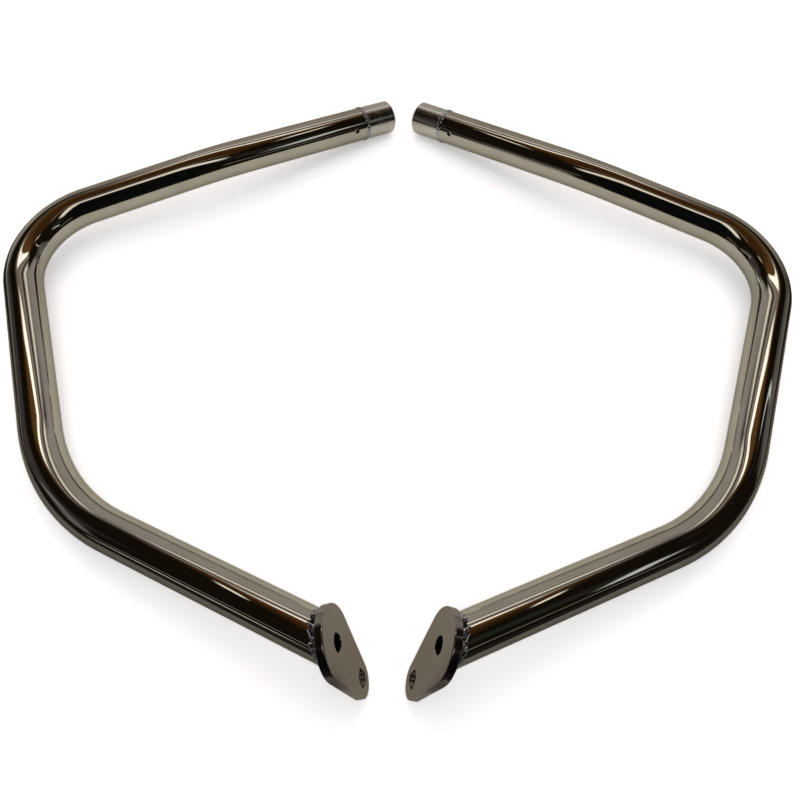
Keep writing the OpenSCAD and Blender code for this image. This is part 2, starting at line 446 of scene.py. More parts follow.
@dataclass(frozen=True)
class Tube:
    """Bent tube of one bar, open at the plate and closed by the plug, with a drain hole.

    Its skin lies just inside the nominal radius, between the corners and the flats
    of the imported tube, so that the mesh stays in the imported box.
    """

    radius: float = 16.0
    skin: float = 15.94
    wall: float = 2.5
    drain_radius: float = 2.5
    drain_back: float = 14.0
    drain_turn: float = 147.0
    columns: int = 96
    block: int = 4
    rings: int = 4

    @property
    def bore(self) -> float:
        """Radius of the bore."""
        return self.radius - self.wall

    def _hole_steps(self) -> np.ndarray:
        """Distances before the plug of the rings round the hole, farthest first."""
        step = 2.0 * math.pi * self.radius / self.columns
        return self.drain_back + step * np.arange(self.block, -self.block - 1, -1)

    def _wall(self, stations: np.ndarray, seat: Seat, radius: float, start: float) -> np.ndarray:
        """Grid over one side of the wall, from the plate's back to the plug.

        Args:
            stations: Frames of the rings of points.
            seat: The mount plate on the lower end.
            radius: Radius of this side of the wall.
            start: Angle of the first column in radians.

        Returns:
            Array of shape (rings, columns, 3): a ring on the plate's slanted back,
            then a circle round each frame.
        """
        angle = start + 2.0 * np.pi * np.arange(self.columns) / self.columns
        circle = np.stack([radius * np.cos(angle), radius * np.sin(angle)], axis=-1)
        flat = np.concatenate([circle, np.zeros((self.columns, 1)), np.ones((self.columns, 1))], axis=1)
        rings = np.einsum("nij,mj->nmi", stations, flat)[..., :3]
        return np.concatenate([seat.on_back(radius, angle, 0.0)[None], rings])

    def _hole_ring(self, at_hole: np.ndarray, radius: float, theta: np.ndarray) -> np.ndarray:
        """The drain hole's edge on one side of the wall.

        Args:
            at_hole: Frame on the tube's axis, with X out through the hole.
            radius: Radius of this side of the wall.
            theta: Angles round the hole in radians.

        Returns:
            The points where a round drill along X meets the wall. Each lies
            sqrt(radius^2 - side^2) out, where side is its place along Y.
        """
        side = self.drain_radius * np.sin(theta)
        out = np.sqrt(radius**2 - side**2)
        local = np.stack([out, side, self.drain_radius * np.cos(theta), np.ones_like(out)], axis=-1)
        return (local @ at_hole.T)[:, :3]

    def surface(self, route: Route, seat: Seat) -> Surface:
        """Closed surface of the tube in the chain's first frame.

        Round the drain hole a square block of quads gives way to rings that lead
        from the block's border to the hole's edge, and the hole's wall joins the
        outside to the bore.

        Args:
            route: The tube's centreline.
            seat: The mount plate on its lower end.

        Returns:
            The surface.
        """
        steps = self._hole_steps()
        stations = route.stations(steps)
        start = math.radians(self.drain_turn + route.turned)
        at_hole = route.at_plug @ shift(z=-self.drain_back) @ spin(self.drain_turn)
        first = stations.shape[0] - steps.size
        rows = np.arange(first, first + 2 * self.block + 1)
        columns = np.arange(-self.block, self.block + 1) % self.columns
        near = np.arange(-self.block, self.block)
        keep = np.ones((stations.shape[0], self.columns), dtype=bool)
        keep[np.ix_(rows[:-1], near % self.columns)] = False
        surface = Surface()
        edges, ends = [], []
        for group, radius in enumerate((self.skin, self.bore)):
            wall = self._wall(stations, seat, radius, start)
            order = slice(None, None, -1 if group == 0 else 1)
            surface.grid(wall[:, order], group, keep=keep[:, :-1][:, order])
            surface.grid(wall[:, [-1, 0]][:, order], group, keep=keep[:, -1:])
            border = self._border(wall, rows, columns)
            theta = self._angles(border, at_hole, point(at_hole, radius))
            hole = self._hole_ring(at_hole, radius, theta)
            share = np.linspace(0.0, 1.0, self.rings + 1)[:, None, None]
            patch = self._on_wall(border * (1.0 - share) + hole * share, at_hole, radius)
            patch[0], patch[-1] = border, hole
            surface.grid(patch[:, order], group, closed=(False, True))
            edges.append(hole)
            ends.append((wall[0], wall[-1]))
        (outer_start, outer_stop), (inner_start, inner_stop) = ends
        surface.grid(np.stack([edges[1], edges[0]]), 2, closed=(False, True))
        surface.grid(np.stack([outer_start, inner_start]), 3, closed=(False, True))
        surface.grid(np.stack([inner_stop, outer_stop]), 3, closed=(False, True))
        return surface

    @staticmethod
    def _border(wall: np.ndarray, rows: np.ndarray, columns: np.ndarray) -> np.ndarray:
        """Points round the block of quads about the drain hole.

        Args:
            wall: Grid over one side of the wall.
            rows: Rows of the block.
            columns: Columns of the block.

        Returns:
            The points, in order round the block.
        """
        top = wall[rows[0], columns[:-1]]
        right = wall[rows[:-1], columns[-1]]
        bottom = wall[rows[-1], columns[:0:-1]]
        left = wall[rows[:0:-1], columns[0]]
        return np.concatenate([top, right, bottom, left])

    @staticmethod
    def _angles(border: np.ndarray, at_hole: np.ndarray, middle: np.ndarray) -> np.ndarray:
        """Angles of points round the drain hole's middle."""
        from_middle = border - middle
        return np.arctan2(from_middle @ at_hole[:3, 1], from_middle @ at_hole[:3, 2])

    @staticmethod
    def _on_wall(points: np.ndarray, at_hole: np.ndarray, radius: float) -> np.ndarray:
        """Points pushed straight out or in until they lie on the round wall.

        Args:
            points: Points near the wall.
            at_hole: Frame on the tube's axis, with Z along it.
            radius: Radius of this side of the wall.

        Returns:
            The points, each scaled away from the axis by radius / distance.
        """
        from_axis = points - at_hole[:3, 3]
        along = from_axis @ at_hole[:3, 2]
        axial = along[..., None] * at_hole[:3, 2]
        outward = from_axis - axial
        length = np.linalg.norm(outward, axis=-1, keepdims=True)
        return at_hole[:3, 3] + axial + outward * (radius / length)


@dataclass(frozen=True)
class Plug:
    """Turned plug in the tube's upper end, with a chamfer and a threaded hole."""

    radius: float = 16.0
    length: float = 35.0
    spigot: float = 20.0
    spigot_radius: float = 13.4
    chamfer: float = 3.0
    thread_radius: float = 5.1
    thread_depth: float = 30.0
    thread_pitch: float = 1.75
    thread_cut: float = 0.8
    mouth: float = 1.2
    soft: float = 0.3
    after_joint: float = 0.8
    before_chamfer: float = 1.0
    round_mouth: float = 0.6
    corner_points: int = 5
    thread_rows: int = 116
    columns: int = 96

    def _turned(self, profile: np.ndarray) -> np.ndarray:
        """Grid of a profile turned round the axis.

        Args:
            profile: Points of (radius, height).

        Returns:
            Array of shape (points, columns, 3): radius * cos(angle),
            radius * sin(angle) and height.
        """
        angle = -2.0 * np.pi * np.arange(self.columns) / self.columns
        radius, height = profile[:, :1], profile[:, 1:]
        x, y = radius * np.cos(angle), radius * np.sin(angle)
        return np.stack([x, y, np.broadcast_to(height, x.shape)], axis=-1)

    def _corner(self, before: tuple, corner: tuple, after: tuple) -> np.ndarray:
        """Points round a softened corner of the profile.

        Args:
            before: Point of the profile before the corner.
            corner: The corner.
            after: Point after it.

        Returns:
            Points on the curve that leaves the corner out, with weights
            (1 - t)^2, 2 t (1 - t) and t^2 for its start, corner and end.
        """
        before, corner, after = np.array(before), np.array(corner), np.array(after)
        start = corner + self.soft * unit(before - corner)
        end = corner + self.soft * unit(after - corner)
        t = np.linspace(0.0, 1.0, self.corner_points)[:, None]
        return (1.0 - t) ** 2 * start + 2.0 * t * (1.0 - t) * corner + t**2 * end

    def surface(self) -> Surface:
        """Closed surface of the plug, with Z out of the tube's end.

        The threaded wall has radius thread_radius + thread_cut * tooth, where the
        tooth is a triangle wave of height minus pitch * turn / full turn.

        Returns:
            The surface.
        """
        outer = [
            (self.spigot_radius, -self.spigot),
            (self.spigot_radius, 0.0),
            (self.radius, 0.0),
            (self.radius, self.length - self.chamfer),
            (self.radius - self.chamfer, self.length),
            (self.thread_radius + self.mouth, self.length),
            (self.thread_radius, self.length - self.mouth),
            (self.thread_radius, self.length - self.thread_depth),
        ]
        bow = np.concatenate([self._corner(*outer[2:5]), self._corner(*outer[3:6])])
        start = (self.radius, self.after_joint)
        stop = (self.radius, self.length - self.chamfer - self.before_chamfer)
        rim = (self.thread_radius + self.mouth + self.round_mouth, self.length)
        surface = Surface()
        bottom = self._turned(np.array([outer[0]]))[0]
        surface.disc(bottom, 0)
        surface.grid(self._turned(np.array(outer[:2])), 1, closed=(False, True))
        surface.grid(self._turned(np.array(outer[1:3])), 2, closed=(False, True))
        skin = np.concatenate([np.array([outer[2], start, stop]), bow, np.array([rim, outer[5]])])
        surface.grid(self._turned(skin), 3, closed=(False, True))
        surface.grid(self._turned(np.array(outer[5:7])), 4, closed=(False, True))
        depth = np.linspace(outer[6][1], outer[7][1], self.thread_rows)
        bore = self._turned(np.stack([np.full_like(depth, self.thread_radius), depth], axis=-1))
        turn = np.arctan2(bore[..., 1], bore[..., 0]) / (2.0 * np.pi)
        tooth = np.abs(2.0 * np.mod(bore[..., 2] / self.thread_pitch - turn, 1.0) - 1.0)
        fade = np.clip((depth - depth[-1]) / self.thread_pitch, 0.0, 1.0)
        fade = fade * np.clip((depth[0] - depth) / self.thread_pitch, 0.0, 1.0)
        bore[..., :2] *= (1.0 + self.thread_cut / self.thread_radius * tooth * fade[:, None])[..., None]
        surface.grid(bore, 5, closed=(False, True))
        surface.disc(bore[-1][::-1], 6)
        return surface


@dataclass(frozen=True)
class Hole:
    """Round hole through the mount plate."""

    along: float
    radius: float
    ripple: float


@dataclass(frozen=True)
class Plate:
    """Mount plate of two round ends joined by straight sides, with two holes."""

    thickness: float = 6.0
    broad_radius: float = 24.5
    narrow_radius: float = 13.0
    length: float = 81.0
    upper_inset: float = 24.5
    edge: float = 0.9
    burr: float = 0.45
    edge_easing: float = 0.4
    ripple_pitch: float = 1.5
    ripple_fade: float = 0.6
    arc_points: int = 40
    side_points: int = 9
    face_points: int = 5
    edge_points: int = 6
    hole_rows: int = 37
    upper: Hole = Hole(0.0, 6.0, 0.0)
    lower: Hole = Hole(43.5, 6.0, 0.10)

    @property
    def broad_x(self) -> float:
        """Place of the broad end's centre, from the upper hole."""
        return self.broad_radius - self.upper_inset

    @property
    def narrow_x(self) -> float:
        """Place of the narrow end's centre, from the upper hole."""
        return self.broad_x + self.length - self.broad_radius - self.narrow_radius

    def _outline(self, inset: float) -> tuple[np.ndarray, np.ndarray]:
        """The outline moved inward, cut in two halfway along its sides.

        Args:
            inset: How far it moves inward.

        Returns:
            Points of the broad half from its upper cut point, through the broad
            end, to its lower one, and points of the narrow half back up.
        """
        pitch_x = self.narrow_x - self.broad_x
        lean = math.acos((self.broad_radius - self.narrow_radius) / pitch_x)
        broad = np.linspace(lean, 2.0 * np.pi - lean, self.arc_points)
        narrow = np.linspace(-lean, lean, self.arc_points)
        big, small = self.broad_radius - inset, self.narrow_radius - inset
        left = np.stack([self.broad_x + big * np.cos(broad), big * np.sin(broad)], axis=-1)
        right = np.stack([self.narrow_x + small * np.cos(narrow), small * np.sin(narrow)], axis=-1)
        share = np.linspace(0.5, 0.0, self.side_points)[:-1, None]
        top_left = left[0] * (1.0 - share) + right[-1] * share
        bottom_left = (left[-1] * (1.0 - share) + right[0] * share)[::-1]
        bottom_right = right[0] * (1.0 - share) + left[-1] * share
        top_right = (right[-1] * (1.0 - share) + left[0] * share)[::-1]
        return (
            np.concatenate([top_left, left, bottom_left]),
            np.concatenate([bottom_right, right, top_right]),
        )

    def _face_half(self, surface: Surface, half: np.ndarray, hole: Hole, height: float) -> np.ndarray:
        """Adds the flat face between half the outline and a hole.

        Args:
            surface: Where the face goes.
            half: Points of that half of the outline.
            hole: The hole in it.
            height: Height of the face.

        Returns:
            Angles of the border's points, seen from the hole's middle.
        """
        share = np.linspace(0.0, 1.0, self.side_points)[1:-1, None]
        cut = half[-1] * (1.0 - share) + half[0] * share
        border = np.concatenate([half, cut])
        away = border - np.array([hole.along, 0.0])
        angle = np.arctan2(away[:, 1], away[:, 0])
        radius = hole.radius + self.burr
        edge = np.array([hole.along, 0.0]) + radius * np.stack([np.cos(angle), np.sin(angle)], axis=-1)
        steps = np.linspace(0.0, 1.0, self.face_points)[:, None, None]
        flat = border * (1.0 - steps) + edge * steps
        grid = np.concatenate([flat, np.full(flat.shape[:2] + (1,), height)], axis=-1)
        up = height == 0.0
        surface.grid(grid[:, ::-1] if up else grid, 0 if up else 1, closed=(False, True))
        return angle

    def _hole_wall(self, surface: Surface, hole: Hole, angle: np.ndarray) -> None:
        """Adds the wall of a hole, with broken edges and the ripples of its drill.

        The ripples follow a helix: to the radius they add ripple * cos(phase),
        where the phase in turns is depth / pitch - angle / full turn.

        Args:
            surface: Where the wall goes.
            hole: The hole.
            angle: Angles of the wall's columns in radians.
        """
        low, high = -self.thickness + self.burr, -self.burr
        depth = np.concatenate([[0.0], np.linspace(high, low, self.hole_rows), [-self.thickness]])
        radius = np.full_like(depth, hole.radius)
        radius[[0, -1]] += self.burr
        phase = depth[:, None] / self.ripple_pitch - angle / (2.0 * np.pi)
        inside = np.clip(np.minimum(high - depth, depth - low) / self.ripple_fade, 0.0, 1.0)
        ripples = hole.ripple * np.cos(2.0 * np.pi * phase) * inside[:, None] ** 0.5
        ring = radius[:, None] + ripples
        x, y = hole.along + ring * np.cos(angle), ring * np.sin(angle)
        wall = np.stack([x, y, np.broadcast_to(depth[:, None], x.shape)], axis=-1)[:, ::-1]
        surface.grid(wall[:2], 2, closed=(False, True))
        surface.grid(wall[1:-1], 3, closed=(False, True))
        surface.grid(wall[-2:], 2, closed=(False, True))

    def surface(self) -> Surface:
        """Closed surface of the plate, with Z out of its inboard face.

        Returns:
            The surface. Its outer edges are quarter rounds.
        """
        surface = Surface()
        for height in (0.0, -self.thickness):
            halves = self._outline(self.edge)
            angles = [
                self._face_half(surface, half, hole, height)
                for half, hole in zip(halves, (self.upper, self.lower))
            ]
        for hole, angle in zip((self.upper, self.lower), angles):
            self._hole_wall(surface, hole, angle)
        round_angle = np.linspace(0.0, 0.5 * np.pi, self.edge_points)
        inset = self.edge * (1.0 - np.sin(round_angle))
        drop = self.edge * (1.0 - np.cos(round_angle))
        insets = np.concatenate([inset, [0.0, 0.0], inset[::-1]])
        eased = self.edge + self.edge_easing
        easing = [-eased, -self.thickness + eased]
        heights = np.concatenate([-drop, easing, -self.thickness + drop[::-1]])
        rings = []
        for step, height in zip(insets, heights):
            broad, narrow = self._outline(float(step))
            ring = np.concatenate([broad, narrow[1:-1]])
            rings.append(np.concatenate([ring, np.full((ring.shape[0], 1), height)], axis=1))
        surface.grid(np.stack(rings), 4, closed=(False, True))
        return surface


@dataclass(frozen=True)
class Bead:
    """Hand-laid weld bead that runs round the tube."""

    ripples: int = 34
    depth: float = 0.34
    lumpiness: float = 0.09
    lump_lean: float = 0.3
    least: float = 0.35
    skew: float = 0.32
    sway: float = 0.22
    sway_waves: tuple[int, ...] = (3, 5, 8, 13)
    lump_waves: tuple[int, ...] = (4, 9, 17, 23)
    seed: int = 3
    columns: int = 408
    rows: int = 12

    def size(self, angle: np.ndarray, rise: np.ndarray) -> np.ndarray:
        """Size of the bead at points over it, as a share of its full size.

        Args:
            angle: Angle round the tube in radians.
            rise: Place over the bead, from 0 to 1.

        Returns:
            The size. Each ripple is a low arc, 1 - depth * (2 * part - 1)^2, where
            part is the place between two neighbours, and the ripples lag behind
            at the bead's edges, as set coins do.
        """
        sway = self.sway * ripple_noise(angle, self.seed, self.sway_waves)
        lag = self.skew * 4.0 * (rise - 0.5) ** 2
        part = np.mod(angle * self.ripples / (2.0 * np.pi) + lag + sway, 1.0)
        arc = 1.0 - self.depth * (2.0 * part - 1.0) ** 2
        noise = ripple_noise(angle + self.lump_lean * rise, self.seed + 1, self.lump_waves)
        return np.clip(arc * (1.0 + self.lumpiness * noise), self.least, 1.0)


@dataclass(frozen=True)
class PlateWeld(Bead):
    """Fillet bead in the corner between the tube and the plate's back."""

    inner: float = 15.96
    reach: float = 5.4
    height: float = 10.6
    fullest: float = 100.0
    thinnest: float = 0.36
    taper: float = 3.0
    toe_power: float = 0.85
    rise_power: float = 0.9

    def _swell(self, angle: np.ndarray) -> np.ndarray:
        """Share of the bead's full size round the tube, largest on the upper outboard side."""
        near = 0.5 + 0.5 * np.cos(angle - math.radians(self.fullest))
        return self.thinnest + (1.0 - self.thinnest) * near**self.taper

    def surface(self, seat: Seat) -> Surface:
        """Closed surface of the bead in the chain's first frame.

        Args:
            seat: The mount plate.

        Returns:
            The surface. Its face follows a quarter of an ellipse, from the toe on
            the plate to the toe on the tube, a little fuller in the middle.
        """
        angle = 2.0 * np.pi * np.arange(self.columns)[:, None] / self.columns
        rise = np.linspace(0.0, 1.0, self.rows)[None, :]
        size = self.size(angle, rise) * self._swell(angle)
        quarter = 0.5 * np.pi * rise
        radius = self.inner + self.reach * size * np.cos(quarter) ** self.toe_power
        lift = self.height * size * np.sin(quarter) ** self.rise_power
        face = seat.on_back(radius, angle, lift)
        foot = seat.on_back(np.full_like(angle, self.inner), angle, np.zeros_like(angle))
        surface = Surface()
        surface.grid(face, 0, closed=(True, False))
        surface.grid(np.concatenate([face[:, -1:], foot], axis=1), 1, closed=(True, False))
        surface.grid(np.concatenate([foot, face[:, :1]], axis=1), 2, closed=(True, False))
        return surface


@dataclass(frozen=True)
class PlugWeld(Bead):
    """Low butt bead over the joint between the tube and the plug."""

    inner: float = 16.02
    half_width: float = 2.4
    height: float = 0.7
    bow_power: float = 0.7
    width_sway: float = 0.14
    width_waves: tuple[int, ...] = (5, 11, 19)

    def surface(self) -> Surface:
        """Closed surface of the bead, with Z toward the plug.

        Returns:
            The surface. Its face is a low bow over its width, a power of
            1 - (2 * rise - 1)^2.
        """
        angle = 2.0 * np.pi * np.arange(self.columns)[:, None] / self.columns
        rise = np.linspace(0.0, 1.0, self.rows)[None, :]
        size = self.size(angle, rise)
        bow = np.clip(1.0 - (2.0 * rise - 1.0) ** 2, 0.0, 1.0) ** self.bow_power
        noise = ripple_noise(angle, self.seed + 2, self.width_waves)
        width = self.half_width * (1.0 - self.width_sway + self.width_sway * noise)
        radius = self.inner + self.height * size * bow
        height = np.clip(width * (2.0 * rise - 1.0), -self.half_width, self.half_width)
        face = np.stack([radius * np.cos(angle), radius * np.sin(angle), height], axis=-1)
        surface = Surface()
        surface.grid(face, 0, closed=(True, False))
        surface.grid(face[:, [-1, 0]], 1, closed=(True, False))
        return surface


class Value:
    """Output of a shader node, with arithmetic that adds Math nodes."""

    def __init__(self, graph: "Graph", socket: bpy.types.NodeSocket) -> None:
        """Keeps the graph and the output socket."""
        self.graph = graph
        self.socket = socket

    def _math(self, operation: str, *operands: object, clamp: bool = False) -> "Value":
        """Result of one Math node.

        Args:
            operation: Blender's name of the operation.
            operands: Values or numbers.
            clamp: Whether the result is held between 0 and 1.

        Returns:
            The result.
        """
        inputs = dict(enumerate(operands))
        settings = {"operation": operation, "use_clamp": clamp}
        return self.graph.node("ShaderNodeMath", settings, inputs).value()

    def __add__(self, other: object) -> "Value":
        """Sum."""
        return self._math("ADD", self, other)

    def __radd__(self, other: object) -> "Value":
        """Sum with a number on the left."""
        return self._math("ADD", other, self)

    def __sub__(self, other: object) -> "Value":
        """Difference."""
        return self._math("SUBTRACT", self, other)

    def __rsub__(self, other: object) -> "Value":
        """Difference with a number on the left."""
        return self._math("SUBTRACT", other, self)

    def __mul__(self, other: object) -> "Value":
        """Product."""
        return self._math("MULTIPLY", self, other)

    def __rmul__(self, other: object) -> "Value":
        """Product with a number on the left."""
        return self._math("MULTIPLY", other, self)

    def size(self) -> "Value":
        """The value without its sign."""
        return self._math("ABSOLUTE", self)

    def turn(self, along: "Value") -> "Value":
        """Angle in degrees of the direction whose height is this value."""
        return self._math("ARCTAN2", self, along) * math.degrees(1.0)

    def held(self) -> "Value":
        """The value held between 0 and 1."""
        return self._math("ADD", self, 0.0, clamp=True)

    def over(self, low: float, high: float) -> "Value":
        """0 at low, 1 at high, straight between and level outside."""
        return ((self - low) * (1.0 / (high - low))).held()


@dataclass
class Made:
    """A new node and the graph it belongs to."""

    graph: "Graph"
    node: bpy.types.Node

    def value(self, name: int | str = 0) -> Value:
        """One of its outputs."""
        return Value(self.graph, self.node.outputs[name])


class Graph:
    """Node tree of a material or world."""

    def __init__(self, tree: bpy.types.NodeTree) -> None:
        """Empties the tree."""
        self.tree = tree
        self.tree.nodes.clear()

    def node(self, kind: str, settings: dict | None = None, inputs: dict | None = None) -> Made:
        """Adds a node.

        Args:
            kind: Blender's name of the node type.
            settings: Properties to set on it.
            inputs: Socket names or numbers, each with a number, colour or Value.

        Returns:
            The node.
        """
        node = self.tree.nodes.new(kind)
        for name, setting in (settings or {}).items():
            setattr(node, name, setting)
        for name, given in (inputs or {}).items():
            if isinstance(given, Value):
                self.tree.links.new(given.socket, node.inputs[name])
            else:
                node.inputs[name].default_value = given
        return Made(self, node)

    def place(self) -> Value:
        """Object coordinates."""
        return self.node("ShaderNodeTexCoord").value("Object")

    def noise(self, scale: float, detail: float, rough: float) -> Value:
        """Noise of about 0 to 1 in object space."""
        inputs = {"Vector": self.place(), "Scale": scale, "Detail": detail, "Roughness": rough}
        return self.node("ShaderNodeTexNoise", None, inputs).value("Fac")

    def cells(self, scale: float) -> Value:
        """Distance to the nearest of scattered points."""
        inputs = {"Vector": self.place(), "Scale": scale, "Randomness": 1.0}
        return self.node("ShaderNodeTexVoronoi", None, inputs).value("Distance")

    def direction(self) -> tuple[Value, Value, Value]:
        """Direction in which the surroundings are seen.

        Returns:
            Its X, Y and Z.
        """
        ways = self.node("ShaderNodeTexCoord").value("Generated")
        parts = self.node("ShaderNodeSeparateXYZ", None, {0: ways})
        return parts.value(0), parts.value(1), parts.value(2)

    def blend(self, share: Value, first: tuple | Value, second: tuple | Value) -> Value:
        """Mix of two colours.

        Args:
            share: Share of the second colour, from 0 to 1.
            first: Colour at a share of 0.
            second: Colour at a share of 1.

        Returns:
            The colour.
        """
        settings = {"data_type": "RGBA", "blend_type": "MIX"}
        inputs = {0: share, 6: first, 7: second}
        return self.node("ShaderNodeMix", settings, inputs).value(2)

    def bump(self, height: Value, depth: float, under: Value | None = None) -> Value:
        """Normal of a height field.

        Args:
            height: The field, from 0 to 1.
            depth: Full height of the field in metres.
            under: Normal that it is laid over, or None for the mesh's own.

        Returns:
            The normal.
        """
        inputs = {"Height": height, "Distance": depth, "Strength": 1.0}
        if under is not None:
            inputs["Normal"] = under
        return self.node("ShaderNodeBump", None, inputs).value()


@dataclass(frozen=True)
class Patches:
    """Soft patches of a noise: none below low, full above high."""

    scale: float
    detail: float
    rough: float
    low: float
    high: float

    def value(self, graph: Graph) -> Value:
        """0 outside the patches and 1 in the middle of one."""
        return graph.noise(self.scale, self.detail, self.rough).over(self.low, self.high)


STAINED = Patches(scale=26.0, detail=3.0, rough=0.55, low=0.42, high=0.75)
HAZED = Patches(scale=60.0, detail=4.0, rough=0.6, low=0.45, high=0.8)
PITTED = Patches(scale=140.0, detail=1.0, rough=0.5, low=0.55, high=0.62)
STAIN_SHARE = 0.55
PIT_SCALE = 420.0
PIT_RIM = (0.06, 0.16)
PIT_DEPTH = 2.0e-5
PIT_ROUGHNESS = 0.25
SWAY_NOISE = (1.0, 0.4)
GRAIN_NOISE = (3.0, 0.6)


@dataclass(frozen=True)
class Finish:
    """Plated metal: its colours, gloss and the small unevenness of its surface."""

    name: str
    base: tuple[float, float, float]
    stain: tuple[float, float, float]
    edge_tint: tuple[float, float, float]
    gloss: float
    haze: float
    sway: float
    sway_scale: float
    grain: float
    grain_scale: float
    pits: float

    def material(self) -> bpy.types.Material:
        """Builds the finish as a node material.

        Returns:
            The material. Its colour drifts toward the stain in soft patches and in
            sparse pits, its roughness rises in hazy patches, and its normal sways
            slowly, with fine grain and the pits on top.
        """
        material = bpy.data.materials.new(self.name)
        material.use_nodes = True
        graph = Graph(material.node_tree)
        speck = 1.0 - graph.cells(PIT_SCALE).over(*PIT_RIM)
        pits = (speck * PITTED.value(graph) * self.pits).held()
        share = (STAINED.value(graph) * STAIN_SHARE + pits).held()
        colour = graph.blend(share, self.base + (1.0,), self.stain + (1.0,))
        rough = HAZED.value(graph) * self.haze + pits * PIT_ROUGHNESS + self.gloss
        swayed = graph.bump(graph.noise(self.sway_scale, *SWAY_NOISE), self.sway)
        grained = graph.bump(graph.noise(self.grain_scale, *GRAIN_NOISE), self.grain, swayed)
        pitted = graph.bump(1.0 - pits, PIT_DEPTH, grained)
        surface = graph.node(
            "ShaderNodeBsdfPrincipled",
            None,
            {
                "Base Color": colour,
                "Metallic": 1.0,
                "Roughness": rough,
                "Specular Tint": self.edge_tint + (1.0,),
                "Normal": pitted,
            },
        )
        graph.node("ShaderNodeOutputMaterial", None, {"Surface": surface.value()})
        return material


TUBE_CHROME = Finish(
    name="tube_chrome",
    base=(0.265, 0.25, 0.195),
    stain=(0.20, 0.186, 0.14),
    edge_tint=(0.55, 0.52, 0.48),
    gloss=0.022,
    haze=0.03,
    sway=1.2e-4,
    sway_scale=11.0,
    grain=3.0e-6,
    grain_scale=700.0,
    pits=0.6,
)
# Partly painted shade: the plate's base and stain are darker than the tube's, standing in for the
# shaded floor that its face mirrors.
PLATE_CHROME = Finish(
    name="plate_chrome",
    base=(0.165, 0.148, 0.125),
    stain=(0.125, 0.108, 0.09),
    edge_tint=(0.5, 0.48, 0.44),
    gloss=0.14,
    haze=0.12,
    sway=1.0e-4,
    sway_scale=30.0,
    grain=8.0e-6,
    grain_scale=900.0,
    pits=0.9,
)
PLUG_CHROME = Finish(
    name="plug_chrome",
    base=(0.35, 0.335, 0.275),
    stain=(0.22, 0.205, 0.165),
    edge_tint=(0.7, 0.68, 0.64),
    gloss=0.13,
    haze=0.16,
    sway=8.0e-5,
    sway_scale=90.0,
    grain=2.3e-5,
    grain_scale=1100.0,
    pits=1.4,
)
WELD_CHROME = Finish(
    name="weld_chrome",
    base=(0.25, 0.255, 0.245),
    stain=(0.07, 0.08, 0.08),
    edge_tint=(0.55, 0.55, 0.53),
    gloss=0.05,
    haze=0.10,
    sway=5.0e-4,
    sway_scale=330.0,
    grain=1.5e-5,
    grain_scale=1300.0,
    pits=1.0,
)


